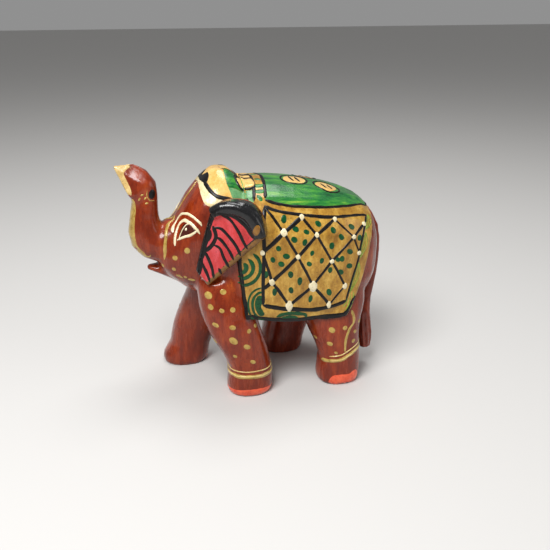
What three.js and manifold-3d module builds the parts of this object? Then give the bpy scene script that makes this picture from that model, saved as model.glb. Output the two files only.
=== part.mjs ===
// A small carved and painted wooden elephant, walking, with its trunk raised.
// Units are millimetres. +Z is up, the head points along -X and the elephant's left side faces -Y.
// The origin is under the middle of the figure, on the surface that it stands on.
//
// One block of wood makes the torso, legs, head, trunk and lower lip. The ears, the tail and the saddle
// cloth are separate solids that sit on the block with a glue gap.

import * as THREE from 'three';
import { LoftGeometry } from 'three/addons/geometries/LoftGeometry.js';
import { mergeVertices } from 'three/addons/utils/BufferGeometryUtils.js';
import Module from 'manifold-3d';

const wasm = await Module();
wasm.setup();

// ---- Driving dimensions ----

const GLUE_GAP = 0.3; // between two pieces that are glued together
const CLOTH_RELIEF = 1.2; // how far the saddle cloth's outside stands out of the wood
const RING_POINTS = 20; // points round each cross section
const STEPS = 2; // sections made from each station to the next
// How square a cross section is in its +v half and its -v half: 2 is an ellipse and more is squarer.
const TORSO_SQUARENESS = [2.4, 3.6];
const CLOTH_SQUARENESS = [2.4, 7];
const HEAD_SQUARENESS = [2.5, 2.5];
const LIMB_SQUARENESS = [2.3, 2.3];
const TRUNK_END_SQUARENESS = [3.2, 3.2];
const EAR_THICKNESS = 5;
const EAR_BEVEL = 1;
const EAR_ROLL_RADIUS = 2.6;
const EAR_HINGE = { x: -28, y: -17.7 }; // the upright line that the left ear's front edge turns about
const EAR_SPLAY = 0.34; // radians that the ear's back edge swings out from the head
const KNIFE_SIZE = 60; // a block of waste wood, larger than any cut
const PRISM_HALF_WIDTH = 40; // further out than the figure's sides

// A station is [x, y, z, reach +u, reach -u, reach +v, reach -v]: a centre and how far the section reaches
// each way from it.

// Upright sections, from the chest to the rump: u is +Y and v is +Z.
const TORSO = [
  [-24, 0, 58, 14, 14, 20, 15],
  [-16, 0, 58, 19, 19, 26, 24],
  [-6, 0, 58, 22.4, 22.4, 27.6, 27],
  [6, 0, 58, 23.8, 23.8, 27.4, 28.5],
  [19, 0, 58, 24, 24, 25.5, 28.5],
  [31, 0, 58, 23.2, 23.2, 22.6, 26.5],
  [41, 0, 57.5, 20, 20, 19.2, 23],
  [47.5, 0, 57, 14.5, 14.5, 13.5, 15],
  [50.5, 0, 57, 6, 6, 6, 7],
];

// Level sections, from the chin up to the crown: u is +X, so -u is towards the face, and v is +Y.
const HEAD = [
  [-22, 0, 41, 9, 6, 6, 6],
  [-20, 0, 47, 12, 15, 12, 12],
  [-18, 0, 54, 14, 23, 15, 15],
  [-16, 0, 63, 16, 23, 17, 17],
  [-14, 0, 72, 14, 19.5, 17, 17],
  [-14, 0, 80, 11, 14.5, 15.5, 15.5],
  [-14, 0, 86.5, 7, 9.5, 11, 11],
  [-15, 0, 91.2, 3, 3.5, 4.5, 4.5],
];

// Sections square to the way they go, each with u across the figure. The trunk leaves from inside the face.
const TRUNK_STEM = [
  [-32, 0, 64, 10, 10, 8, 8],
  [-39, 0, 62, 8.4, 8.4, 8, 8],
  [-44, 0, 65.4, 7, 7, 7.6, 7.6],
  [-44.9, 0, 71.5, 6.2, 6.2, 6, 6],
  [-44.4, 0, 77, 5.6, 5.6, 5.2, 5.2],
  [-44.2, 0, 82, 5.2, 5.2, 5, 5],
  [-44.6, 0, 86, 5.2, 5.2, 5, 5.2],
];
const TRUNK_END = [
  [-44.2, 0, 80, 5, 5, 4.8, 4.9],
  [-45, 0, 85, 5.2, 5.2, 6, 5.6],
  [-49, 0, 88, 5.2, 5.2, 7, 6.4],
  [-57, 0, 89.5, 5.2, 5.2, 8, 7],
];
const LOWER_LIP = [
  [-32, 0, 48, 6, 6, 3, 3],
  [-38, 0, 50.2, 4.5, 4.5, 2.2, 2.2],
  [-42.6, 0, 51.6, 3, 3, 1.4, 1.4],
  [-45.2, 0, 52, 1.4, 1.4, 0.9, 0.9],
];
const TAIL = [
  [46, 0, 70, 3, 3, 2.6, 3],
  [50.3, -0.5, 62, 3, 3, 2.9, 3],
  [51.3, -1.5, 52, 2.8, 2.8, 2.6, 3],
  [50, -3, 41, 2.6, 2.6, 2.4, 2.8],
  [47.6, -4.5, 31, 2.6, 2.6, 2.4, 3],
  [46.6, -6, 24, 3.2, 3.2, 2.8, 3.2],
  [47, -7, 15, 3.5, 3.5, 3.3, 3.3],
  [47.4, -7, 8.4, 2.6, 2.6, 2.4, 2.4],
];

// Level sections, from the sole up into the torso: u is +X and v is +Y.
const LEGS = [
  [ // front left, set back
    [-7.2, -15.6, 0, 8.8, 8.8, 8.4, 8.4],
    [-7, -15.6, 3, 9.4, 9.4, 9, 9],
    [-7, -15.8, 12, 9, 9, 8.6, 8.6],
    [-9.6, -15.8, 20, 9.8, 9.8, 9, 9],
    [-12.8, -15, 28, 10.6, 10.8, 9.6, 9.6],
    [-15.2, -13, 38, 11.2, 11.4, 10, 10],
    [-15, -10, 50, 11, 12, 10, 10],
  ],
  [ // front right, set forward
    [-29.6, 17, 0, 9, 9.8, 8.4, 8.4],
    [-29, 17, 3, 9.4, 10.8, 9, 9],
    [-27.4, 16.8, 9, 9, 9, 8.4, 8.4],
    [-24.8, 16.4, 18, 9.6, 9.8, 9, 9],
    [-20.5, 15.4, 27, 10.4, 10.6, 9.6, 9.6],
    [-16.5, 13, 37, 11, 11, 10, 10],
    [-14, 10, 50, 11, 12, 10, 10],
  ],
  [ // hind left, set back
    [31.6, -15.6, 0, 8.6, 8.4, 8.2, 8.2],
    [31.6, -15.6, 3, 9.2, 9.2, 8.8, 8.8],
    [32, -15.6, 12, 9, 8.8, 8.4, 8.4],
    [30.4, -15.2, 20, 10.2, 9.8, 9, 9],
    [29, -14, 27, 12.4, 11.4, 10, 10],
    [29, -12, 36, 14.5, 13.5, 11, 11],
    [29, -9, 49, 15, 14, 12, 12],
  ],
  [ // hind right, set forward
    [15, 17.6, 0, 9.4, 9.2, 8.2, 8.2],
    [15.2, 17.6, 3, 9.8, 9.8, 8.6, 8.6],
    [16.8, 17.4, 10, 9.8, 10.4, 8.6, 8.6],
    [19.8, 16.6, 19, 10.6, 12, 9, 9],
    [23, 15, 27, 12, 13, 10, 10],
    [27, 12, 36, 14.5, 14.5, 11, 11],
    [29, 9, 49, 15, 14, 12, 12],
  ],
];

// ---- Sections, lofts and cuts ----

// The value a share t of the way from p1 to p2, on a smooth curve through four numbers.
function smooth(p0, p1, p2, p3, t) {
  const start = (p2 - p0) / 2;
  const end = (p3 - p1) / 2;
  const cubic = 2 * (p1 - p2) + start + end;
  const square = 3 * (p2 - p1) - 2 * start - end;
  return ((cubic * t + square) * t + start) * t + p1;
}

// The given stations with smooth ones added between them.
function spread(stations) {
  const last = stations.length - 1;
  const at = (i) => stations[Math.min(Math.max(i, 0), last)];
  const all = [];
  for (let i = 0; i < last; i++) {
    for (let k = 0; k < STEPS; k++) {
      const value = (_, n) => smooth(at(i - 1)[n], at(i)[n], at(i + 1)[n], at(i + 2)[n], k / STEPS);
      all.push(at(i).map(value));
    }
  }
  all.push(at(last));
  return all;
}

// One closed cross section. grow widens it all round.
function section(station, u, v, squareness, grow) {
  const [x, y, z, uPlus, uMinus, vPlus, vMinus] = station;
  const centre = new THREE.Vector3(x, y, z);
  const points = [];
  for (let i = 0; i < RING_POINTS; i++) {
    const angle = (i / RING_POINTS) * Math.PI * 2;
    const power = 2 / squareness[Math.sin(angle) > 0 ? 0 : 1];
    const reach = (wave, plus, minus) => {
      return Math.sign(wave) * Math.abs(wave) ** power * ((wave > 0 ? plus : minus) + grow);
    };
    const along = reach(Math.cos(angle), uPlus, uMinus);
    const across = reach(Math.sin(angle), vPlus, vMinus);
    points.push(centre.clone().addScaledVector(u, along).addScaledVector(v, across));
  }
  return points;
}

const X = new THREE.Vector3(1, 0, 0);
const Y = new THREE.Vector3(0, 1, 0);
const Z = new THREE.Vector3(0, 0, 1);

// A closed three.js geometry as a solid for joining and cutting.
function solid(geometry) {
  const bare = new THREE.BufferGeometry();
  bare.setAttribute('position', geometry.attributes.position);
  bare.setIndex(geometry.index);
  const merged = mergeVertices(bare, 1e-4);
  const vertProperties = merged.attributes.position.array;
  const triVerts = new Uint32Array(merged.index.array);
  return new wasm.Manifold(new wasm.Mesh({ numProp: 3, vertProperties, triVerts }));
}

function loftedSolid(sections) {
  return solid(new LoftGeometry(sections, { capStart: true, capEnd: true }));
}

// A solid through sections that all keep the same two directions.
function loft(stations, u, v, squareness, grow = 0) {
  return loftedSolid(spread(stations).map((station) => section(station, u, v, squareness, grow)));
}

// A solid through sections that each stand square to the way it goes there.
function sweep(stations, squareness, grow = 0) {
  const all = spread(stations);
  const centres = all.map(([x, y, z]) => new THREE.Vector3(x, y, z));
  const sections = all.map((station, i) => {
    const before = centres[Math.max(i - 1, 0)];
    const after = centres[Math.min(i + 1, all.length - 1)];
    const way = after.clone().sub(before).normalize();
    const v = way.clone().cross(Y).normalize();
    const u = v.clone().cross(way).normalize();
    return section(station, u, v, squareness, grow);
  });
  return loftedSolid(sections);
}

// Cuts away what lies outside the flat face through three points. The face looks out towards a viewer who
// sees the points go counterclockwise. grow moves the face outwards.
function knifeCut(whole, points, grow) {
  const [a, b, c] = points.map((point) => new THREE.Vector3(...point));
  const out = b.clone().sub(a).cross(c.clone().sub(a)).normalize();
  const waste = new THREE.BoxGeometry(KNIFE_SIZE, KNIFE_SIZE, KNIFE_SIZE);
  waste.translate(0, 0, KNIFE_SIZE / 2 + grow);
  waste.applyQuaternion(new THREE.Quaternion().setFromUnitVectors(Z, out));
  waste.translate(a.x, a.y, a.z);
  return whole.subtract(solid(waste));
}

function geometryOf(made) {
  const mesh = made.getMesh();
  const geometry = new THREE.BufferGeometry();
  geometry.setAttribute('position', new THREE.BufferAttribute(mesh.vertProperties, 3));
  geometry.setIndex(new THREE.BufferAttribute(mesh.triVerts, 1));
  geometry.computeVertexNormals();
  return geometry;
}

// ---- The carved block ----

// The raised end of the trunk: a slanted mouth, and a ridged top and flat sides that meet in a point.
function trunkEnd(grow) {
  const mouth = [[-55.2, 0, 93.5], [-49.6, 4, 81], [-49.6, -4, 81]];
  const roof = [[-55.4, -0.3, 93.5], [-44, -5.2, 87], [-43, -0.8, 93.4]];
  const cheek = [[-55.4, -0.3, 93.5], [-49.6, -4.9, 81], [-44, -5.3, 87]];
  let end = knifeCut(sweep(TRUNK_END, TRUNK_END_SQUARENESS, grow), mouth, grow);
  for (const cut of [roof, cheek]) {
    end = knifeCut(end, cut, grow);
    end = knifeCut(end, cut.map(([x, y, z]) => [x, -y, z]).reverse(), grow);
  }
  return end;
}

// The block, or the same block grown by a clearance so that it can cut what sits on it.
function carvedBlock(grow = 0) {
  const pieces = [
    loft(TORSO, Y, Z, TORSO_SQUARENESS, grow),
    loft(HEAD, X, Y, HEAD_SQUARENESS, grow),
    sweep(TRUNK_STEM, LIMB_SQUARENESS, grow),
    trunkEnd(grow),
    sweep(LOWER_LIP, LIMB_SQUARENESS, grow),
    ...LEGS.map((stations) => loft(stations, X, Y, LIMB_SQUARENESS, grow)),
  ];
  return pieces.reduce((whole, piece) => whole.add(piece));
}

// ---- The pieces on it ----

// The cloth's outline seen from the side, which both sides share.
function clothOutline() {
  const outline = new THREE.Shape();
  outline.moveTo(-6, 100);
  outline.lineTo(-7.5, 78);
  outline.lineTo(-12, 60);
  outline.lineTo(-9.8, 35);
  outline.quadraticCurveTo(11, 29.8, 32, 32.2);
  outline.quadraticCurveTo(38.6, 42, 41.6, 57);
  outline.lineTo(44.6, 68);
  outline.quadraticCurveTo(46.6, 75, 46.8, 84);
  outline.lineTo(46.8, 100);
  return outline;
}

// A solid made of an outline in the XZ plane, reaching as far to each side of the figure.
function prism(outline, halfWidth) {
  const geometry = new THREE.ExtrudeGeometry(outline, {
    depth: 2 * halfWidth,
    bevelEnabled: false,
    curveSegments: 8,
  });
  return solid(geometry.rotateX(Math.PI / 2).translate(0, halfWidth, 0));
}

// All the space that the cloth covers, down to the hem. Its sides hang straight from the flanks.
function clothSpace(relief) {
  const draped = loft(TORSO, Y, Z, CLOTH_SQUARENESS, relief);
  return draped.add(carvedBlock(relief)).intersect(prism(clothOutline(), PRISM_HALF_WIDTH));
}

function earOutline() {
  const outline = new THREE.Shape();
  outline.moveTo(-23.3, 49.2);
  outline.lineTo(-0.4, 70);
  outline.quadraticCurveTo(-1.6, 83.8, -12, 83.4);
  outline.quadraticCurveTo(-18, 83.4, -21.2, 79.8);
  outline.lineTo(-24.9, 67.5);
  outline.lineTo(-27.9, 55.6);
  return outline;
}

// The rolled rim along the top of the ear.
const EAR_ROLL = [
  [-20.5, 78.5],
  [-17, 80.6],
  [-12.5, 80.9],
  [-7.2, 78.8],
  [-4, 74.2],
  [-2.9, 69.9],
];

function earRoll() {
  const r = EAR_ROLL_RADIUS;
  return sweep(EAR_ROLL.map(([x, z]) => [x, 0, z, r, r, r, r]), LIMB_SQUARENESS);
}

// One ear lies against the head at its front edge and stands out at its back. side is -1 for the left ear.
function ear(side, seat) {
  const leaf = new THREE.ExtrudeGeometry(earOutline(), {
    depth: EAR_THICKNESS,
    bevelSize: EAR_BEVEL,
    bevelOffset: -EAR_BEVEL,
    bevelThickness: EAR_BEVEL,
    bevelSegments: 1,
    curveSegments: 6,
  });
  leaf.rotateX(Math.PI / 2).translate(0, EAR_THICKNESS, 0);
  const degrees = THREE.MathUtils.radToDeg(EAR_SPLAY);
  const left = solid(leaf)
    .add(earRoll())
    .translate([-EAR_HINGE.x, 0, 0])
    .rotate([0, 0, -degrees])
    .translate([EAR_HINGE.x, EAR_HINGE.y, 0]);
  const placed = side < 0 ? left : left.mirror([0, 1, 0]);
  return placed.subtract(seat);
}

// ---- The figure ----

const BROWN = 0x7a2d12;
const GOLD = 0xb98a3a;
const RED = 0xc0303a;

const figure = new THREE.Group();

function place(name, made, color) {
  const material = new THREE.MeshStandardMaterial({ color, roughness: 0.3, metalness: 0 });
  const mesh = new THREE.Mesh(geometryOf(made), material);
  mesh.name = name;
  figure.add(mesh);
}

const seat = carvedBlock(GLUE_GAP);
const clothedSeat = clothSpace(CLOTH_RELIEF + GLUE_GAP).add(seat);

place('carved_block', carvedBlock(), BROWN);
place('saddle_cloth', clothSpace(CLOTH_RELIEF).subtract(seat), GOLD);
place('ear_left', ear(-1, clothedSeat), RED);
place('ear_right', ear(1, clothedSeat), RED);
place('tail', sweep(TAIL, LIMB_SQUARENESS).subtract(clothedSeat), BROWN);

// The figure is moved so that the origin is under the middle of it.
const box = new THREE.Box3().setFromObject(figure);
const middle = box.getCenter(new THREE.Vector3());
figure.position.set(-middle.x, -middle.y, -box.min.z);

const elephant = new THREE.Group();
elephant.add(figure);

export default elephant;
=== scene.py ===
"""A small carved and painted wooden elephant, walking, with its trunk raised.

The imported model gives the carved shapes. They are refined here, and every painted mark is made as thin
geometry that lies on them: a film for an area, a stroke for a brush line and a bead for a dot. The design is
written in millimetres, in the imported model's frame: the head points along -X and the left side faces -Y.
"""

import math
import random

import bpy
import numpy as np
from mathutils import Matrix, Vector, noise
from mathutils.bvhtree import BVHTree
from mathutils.geometry import delaunay_2d_cdt


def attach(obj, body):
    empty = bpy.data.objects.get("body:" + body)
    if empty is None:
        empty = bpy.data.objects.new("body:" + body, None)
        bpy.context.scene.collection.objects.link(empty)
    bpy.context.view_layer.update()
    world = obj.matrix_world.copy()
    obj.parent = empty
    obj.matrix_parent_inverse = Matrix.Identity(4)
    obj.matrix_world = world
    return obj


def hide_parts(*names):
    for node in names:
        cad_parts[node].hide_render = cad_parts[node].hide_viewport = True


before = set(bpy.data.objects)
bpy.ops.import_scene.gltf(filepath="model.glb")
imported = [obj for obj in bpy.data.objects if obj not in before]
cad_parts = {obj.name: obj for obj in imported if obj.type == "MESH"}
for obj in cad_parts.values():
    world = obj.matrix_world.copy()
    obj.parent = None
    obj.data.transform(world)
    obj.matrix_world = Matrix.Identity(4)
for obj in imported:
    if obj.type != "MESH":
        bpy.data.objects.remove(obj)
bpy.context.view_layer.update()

MM = 0.001
LEFT = -1  # the side that faces -Y
RIGHT = 1
SIDES = (LEFT, RIGHT)
WOOD = "lacquered_wood"  # the paint slots
CLOTH = "cloth_paint"
EAR = "ear_paint"

# ---- Driving dimensions, in millimetres ----

BODY_VOXEL = 0.6  # mesh size of the block
FINE_VOXEL = 0.4  # mesh size of the smaller pieces
AXIS_HEIGHT = 58.0  # of the line through the torso that its painted coordinates turn about
NOMINAL_RADIUS = 25.0  # of the torso, to turn degrees into millimetres of arc
LEG_RADIUS = 9.0
TRUNK_RADIUS = 5.5
FACE_RADIUS = 20.0
FAR = 90.0  # outside the figure
MOUTH_DEPTH = FAR - 47  # from there to just behind the trunk's mouth
EDGE_SINK = 0.03  # how far a paint edge dips into the wood, so that no gap shows
FILM_RIM = 0.3  # width of the slope at the edge of a painted area
ARC_POINTS = 9

# Heights of the paint. Where two coats cross, the higher one covers the other.
STROKE_LIFT = 0.2  # of a brush line that has no height of its own
LOW_LIFT = 0.14
FLAT_LIFT = 0.12
THIN_LIFT = 0.1
AREA_LIFT = 0.09
PATCH_LIFT = 0.08


# ---- Surfaces and charts ----

def millimetre_tree(*objects):
    """A search tree of the objects' faces, in millimetres."""
    corners, faces = [], []
    for obj in objects:
        start = len(corners)
        corners += [vertex.co / MM for vertex in obj.data.vertices]
        faces += [[start + i for i in polygon.vertices] for polygon in obj.data.polygons]
    return BVHTree.FromPolygons(corners, faces)


class Chart:
    """Turns flat design coordinates into points on a surface. unit is the millimetres in one step of v."""

    def __init__(self, tree, ray, unit=1.0, from_inside=False, farthest=2 * FAR):
        self.tree = tree
        self.ray = ray
        self.unit = unit
        self.from_inside = from_inside
        self.farthest = farthest
        self.reach = 0.0  # how far the last ray went before it met the surface

    def at(self, u, w):
        """The surface point and outward normal at u and w, where w is v in millimetres.

        A ray that passes the surface by takes the nearest point to where it would have met it.
        """
        origin, direction = self.ray(u, w / self.unit)
        point, normal, _, reach = self.tree.ray_cast(origin, direction, self.farthest)
        if point is None:
            point, normal = self.tree.find_nearest(origin + direction * self.reach)[:2]
        else:
            self.reach = reach
        outward = direction if self.from_inside else -direction
        return point, normal if normal.dot(outward) > 0 else -normal


def side_chart(tree, side):
    """u is x and v is z, seen square from one side."""
    def ray(x, z):
        return Vector((x, side * FAR, z)), Vector((0, -side, 0))
    return Chart(tree, ray)


def wrap_chart(tree, side):
    """u is x and v is degrees round the torso's axis, from the ridge down that side."""
    def ray(x, degrees):
        angle = math.radians(degrees)
        out = Vector((0, side * math.sin(angle), math.cos(angle)))
        return Vector((x, 0, AXIS_HEIGHT)) + out * FAR, -out
    return Chart(tree, ray, unit=math.radians(NOMINAL_RADIUS))


def along(path, key):
    """The point on a path of (key, point) pairs at that key."""
    for (low, start), (high, end) in zip(path, path[1:]):
        if key <= high or high == path[-1][0]:
            return Vector(start).lerp(Vector(end), (key - low) / (high - low))


def upright_chart(tree, path, side, radius):
    """u is height and v is degrees round a leg or the head, from its front over one side to its back."""
    def ray(height, degrees):
        angle = math.radians(degrees)
        return along(path, height), Vector((-math.cos(angle), side * math.sin(angle), 0))
    return Chart(tree, ray, unit=math.radians(radius), from_inside=True)


def front_chart(tree):
    """u is y and v is z, seen square from the front, as far back as the trunk's mouth."""
    def ray(y, z):
        return Vector((-FAR, y, z)), Vector((1, 0, 0))
    return Chart(tree, ray, farthest=MOUTH_DEPTH)


def around_face(seen, points):
    """Side-view points (x, z) of the head as the height and angle that the face's own chart takes."""
    turned = []
    for x, z in points:
        spot = seen.at(x, z)[0]
        turned.append((spot.z, math.degrees(math.atan2(abs(spot.y), FACE_AXIS[0][1][0] - spot.x))))
    return turned


def trunk_chart(tree, path, side):
    """u is millimetres along the trunk and v is degrees round it, from its outer curve over one side."""
    def ray(distance, degrees):
        before = along(path, max(distance - 1, 0))
        after = along(path, distance + 1)
        outer = (after - before).normalized().cross(Vector((0, 1, 0)))
        angle = math.radians(degrees)
        return along(path, distance), outer * math.cos(angle) + Vector((0, side * math.sin(angle), 0))
    return Chart(tree, ray, unit=math.radians(TRUNK_RADIUS), from_inside=True)


# ---- Lines ----

def line_through(points, step, closed=False, rounded=True):
    """Points about a step apart along a smooth or straight-sided line through the given ones."""
    count = len(points)

    def point(i):
        return Vector(points[i % count] if closed else points[min(max(i, 0), count - 1)])

    line = []
    for i in range(count if closed else count - 1):
        before, start, end, after = point(i - 1), point(i), point(i + 1), point(i + 2)
        steps = max(1, round((end - start).length / step))
        for k in range(steps):
            t = k / steps
            if rounded:
                bend = (end - before) * t + (2 * before - 5 * start + 4 * end - after) * t ** 2
                bend += (3 * start - before - 3 * end + after) * t ** 3
                line.append(start + bend / 2)
            else:
                line.append(start.lerp(end, t))
    if not closed:
        line.append(point(count - 1))
    return line


def arc(centre, radius, start, end, unit):
    """Points of an arc in chart coordinates; the angles are in degrees from +u towards +v."""
    angles = [math.radians(start + (end - start) * i / (ARC_POINTS - 1)) for i in range(ARC_POINTS)]
    return [(centre[0] + radius * math.cos(a), centre[1] + radius * math.sin(a) / unit) for a in angles]


def flutter(position, seed):
    """A smooth, repeatable wander between about -1 and 1, as of an unsteady hand."""
    return noise.noise(Vector((position, seed * 7.31, 0.5)))


# ---- Paint ----

class Coat:
    """All the paint of one kind in one place, gathered into a single mesh."""

    BRUSH_PROFILE = ((-1, 0), (-0.72, 0.75), (0, 1), (0.72, 0.75), (1, 0))  # across and up, as shares
    TAPER = 1.2  # length over which a brush line narrows at its ends
    TIP = 0.35  # share of the width that is left at the very end
    BEAD_RINGS = 4
    BEAD_SIDES = 18

    def __init__(self, seed):
        self.corners = []
        self.faces = []
        self.random = random.Random(seed)

    def add(self, points, normals, faces):
        """Adds faces, turned so that they look outwards."""
        turned = 0.0
        for face in faces:
            a, b, c = (points[i] for i in face[:3])
            turned += (b - a).cross(c - a).dot(normals[face[0]])
        start = len(self.corners)
        self.corners += points
        order = 1 if turned > 0 else -1
        self.faces += [[start + i for i in face][::order] for face in faces]

    def stroke(self, chart, points, width, lift=STROKE_LIFT, closed=False, rounded=True):
        """A brush line with a rounded back, an unsteady width and tapered ends."""
        seed = self.random.uniform(0, 99)
        line = line_through([(u, v * chart.unit) for u, v in points], 0.5, closed, rounded)
        placed, normals, run = [], [], 0.0
        total = sum((b - a).length for a, b in zip(line, line[1:]))
        for i, here in enumerate(line):
            if closed:
                way = line[(i + 1) % len(line)] - line[i - 1]
            else:
                way = line[min(i + 1, len(line) - 1)] - line[max(i - 1, 0)]
            across = Vector((-way.y, way.x)).normalized()
            run += (here - line[i - 1]).length if i else 0.0
            end = 1.0 if closed else min(1.0, self.TIP + min(run, total - run) / self.TAPER * (1 - self.TIP))
            half = width / 2 * end * (1 + 0.22 * flutter(run * 0.45, seed))
            middle = here + across * width * 0.12 * flutter(run * 0.2, seed + 50)
            for offset, height in self.BRUSH_PROFILE:
                spot = middle + across * offset * half
                point, normal = chart.at(spot.x, spot.y)
                placed.append(point + normal * (height * lift - (EDGE_SINK if height == 0 else 0)))
                normals.append(normal)
        rows, ring = len(line), len(self.BRUSH_PROFILE)
        faces = []
        for i in range(rows if closed else rows - 1):
            j = (i + 1) % rows
            for k in range(ring - 1):
                faces.append([i * ring + k, i * ring + k + 1, j * ring + k + 1, j * ring + k])
        self.add(placed, normals, faces)

    def bead(self, chart, u, v, width, height, length=None, turn=0.0):
        """A dot of paint, domed and not quite round. turn is in degrees."""
        seed = self.random.uniform(0, 99)
        rings, sides = self.BEAD_RINGS, self.BEAD_SIDES
        half_width, half_length = width / 2, (length or width) / 2
        point, normal = chart.at(u, v * chart.unit)
        placed, normals = [point + normal * height], [normal]
        cos, sin = math.cos(math.radians(turn)), math.sin(math.radians(turn))
        for ring in range(1, rings + 1):
            share = ring / rings
            for side in range(sides):
                angle = 2 * math.pi * side / sides
                wobble = 1 + 0.13 * flutter(math.cos(angle) + 2, seed) + 0.1 * flutter(math.sin(angle), seed)
                a = half_length * share * wobble * math.cos(angle)
                b = half_width * share * wobble * math.sin(angle)
                point, normal = chart.at(u + a * cos - b * sin, v * chart.unit + a * sin + b * cos)
                dome = height * math.sqrt(max(0.0, 1 - share ** 2.6))
                placed.append(point + normal * (dome if ring < rings else -EDGE_SINK))
                normals.append(normal)
        faces = [[0, 1 + k, 1 + (k + 1) % sides] for k in range(sides)]
        for ring in range(rings - 1):
            inner, outer = 1 + ring * sides, 1 + (ring + 1) * sides
            for k in range(sides):
                m = (k + 1) % sides
                faces.append([inner + k, outer + k, outer + m, inner + m])
        self.add(placed, normals, faces)

    def film(self, chart, outline, lift, spacing=0.7, rounded=True, wobble=0.12):
        """A painted area inside an outline, which slopes down to the surface along its edge."""
        seed = self.random.uniform(0, 99)
        border = line_through([(u, v * chart.unit) for u, v in outline], spacing * 0.7, True, rounded)
        edge = np.array([(p.x, p.y) for p in border])
        out = outward(edge)
        edge = edge + out * np.array([wobble * flutter(i * 0.3, seed) for i in range(len(edge))])[:, None]
        inner = np.vstack([edge, inset_points(edge, out), grid_points(edge, spacing)])
        corners = [Vector(point) for point in inner]
        spots, _, faces = delaunay_2d_cdt(corners, [], [list(range(len(edge)))], 1, 1e-5)[:3]
        depth = distance_to(np.array([(p.x, p.y) for p in spots]), edge)
        placed, normals = [], []
        for spot, deep in zip(spots, depth):
            point, normal = chart.at(spot.x, spot.y)
            rise = min(1.0, deep / FILM_RIM)
            placed.append(point + normal * (rise * lift - (1 - rise) * EDGE_SINK))
            normals.append(normal)
        self.add(placed, normals, [list(face) for face in faces])

    def make(self, name, material, slot):
        """Turns everything painted so far into one piece."""
        mesh = bpy.data.meshes.new(name)
        mesh.from_pydata([corner * MM for corner in self.corners], [], self.faces)
        mesh.shade_smooth()
        mesh.materials.append(material)
        obj = bpy.data.objects.new(name, mesh)
        bpy.context.scene.collection.objects.link(obj)
        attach(obj, "root")
        return obj


def outward(edge):
    """The direction straight out of a closed line at each of its points."""
    way = np.roll(edge, -1, 0) - np.roll(edge, 1, 0)
    way /= np.linalg.norm(way, axis=1)[:, None] + 1e-9
    out = np.stack([way[:, 1], -way[:, 0]], 1)
    turn = edge[:, 0] * np.roll(edge[:, 1], -1) - np.roll(edge[:, 0], -1) * edge[:, 1]
    return -out if turn.sum() < 0 else out


def inset_points(edge, out):
    """Points a rim's width inside the edge, without those that come too near to another part of it."""
    inset = edge - out * FILM_RIM
    inset = inset[distance_to(inset, edge) > FILM_RIM * 0.8]
    return inset[inside(inset, edge)]


def grid_points(edge, spacing):
    """Evenly spread points that fill the area inside the rim."""
    low, high = edge.min(0), edge.max(0)
    columns, rows = (np.ceil((high - low) / spacing)).astype(int) + 1
    grid = np.array([(low[0] + i * spacing, low[1] + (j + 0.5 * (i % 2)) * spacing)
                     for i in range(columns) for j in range(rows)])
    grid = grid[inside(grid, edge)]
    return grid[distance_to(grid, edge) > FILM_RIM + spacing * 0.5]


def distance_to(points, edge):
    """How far each point is from the closed line through the edge points."""
    if len(points) == 0:
        return np.zeros(0)
    start, end = edge, np.roll(edge, -1, 0)
    span = end - start
    length = (span ** 2).sum(1) + 1e-12
    nearest = np.full(len(points), np.inf)
    for a, s, size in zip(start, span, length):
        share = np.clip(((points - a) @ s) / size, 0, 1)
        gap = points - a - share[:, None] * s
        nearest = np.minimum(nearest, (gap ** 2).sum(1))
    return np.sqrt(nearest)


def inside(points, edge):
    """Which points lie inside the closed line."""
    within = np.zeros(len(points), bool)
    for a, b in zip(edge, np.roll(edge, -1, 0)):
        if a[1] == b[1]:
            continue
        crosses = (a[1] > points[:, 1]) != (b[1] > points[:, 1])
        within ^= crosses & (points[:, 0] < (b[0] - a[0]) * (points[:, 1] - a[1]) / (b[1] - a[1]) + a[0])
    return within


# ---- Materials ----

def linear(red, green, blue):
    """A colour given as 0 to 255 sRGB, in the linear values that shaders use."""
    def value(channel):
        c = channel / 255
        return c / 12.92 if c <= 0.04045 else ((c + 0.055) / 1.055) ** 2.4
    return (value(red), value(green), value(blue), 1.0)


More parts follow.
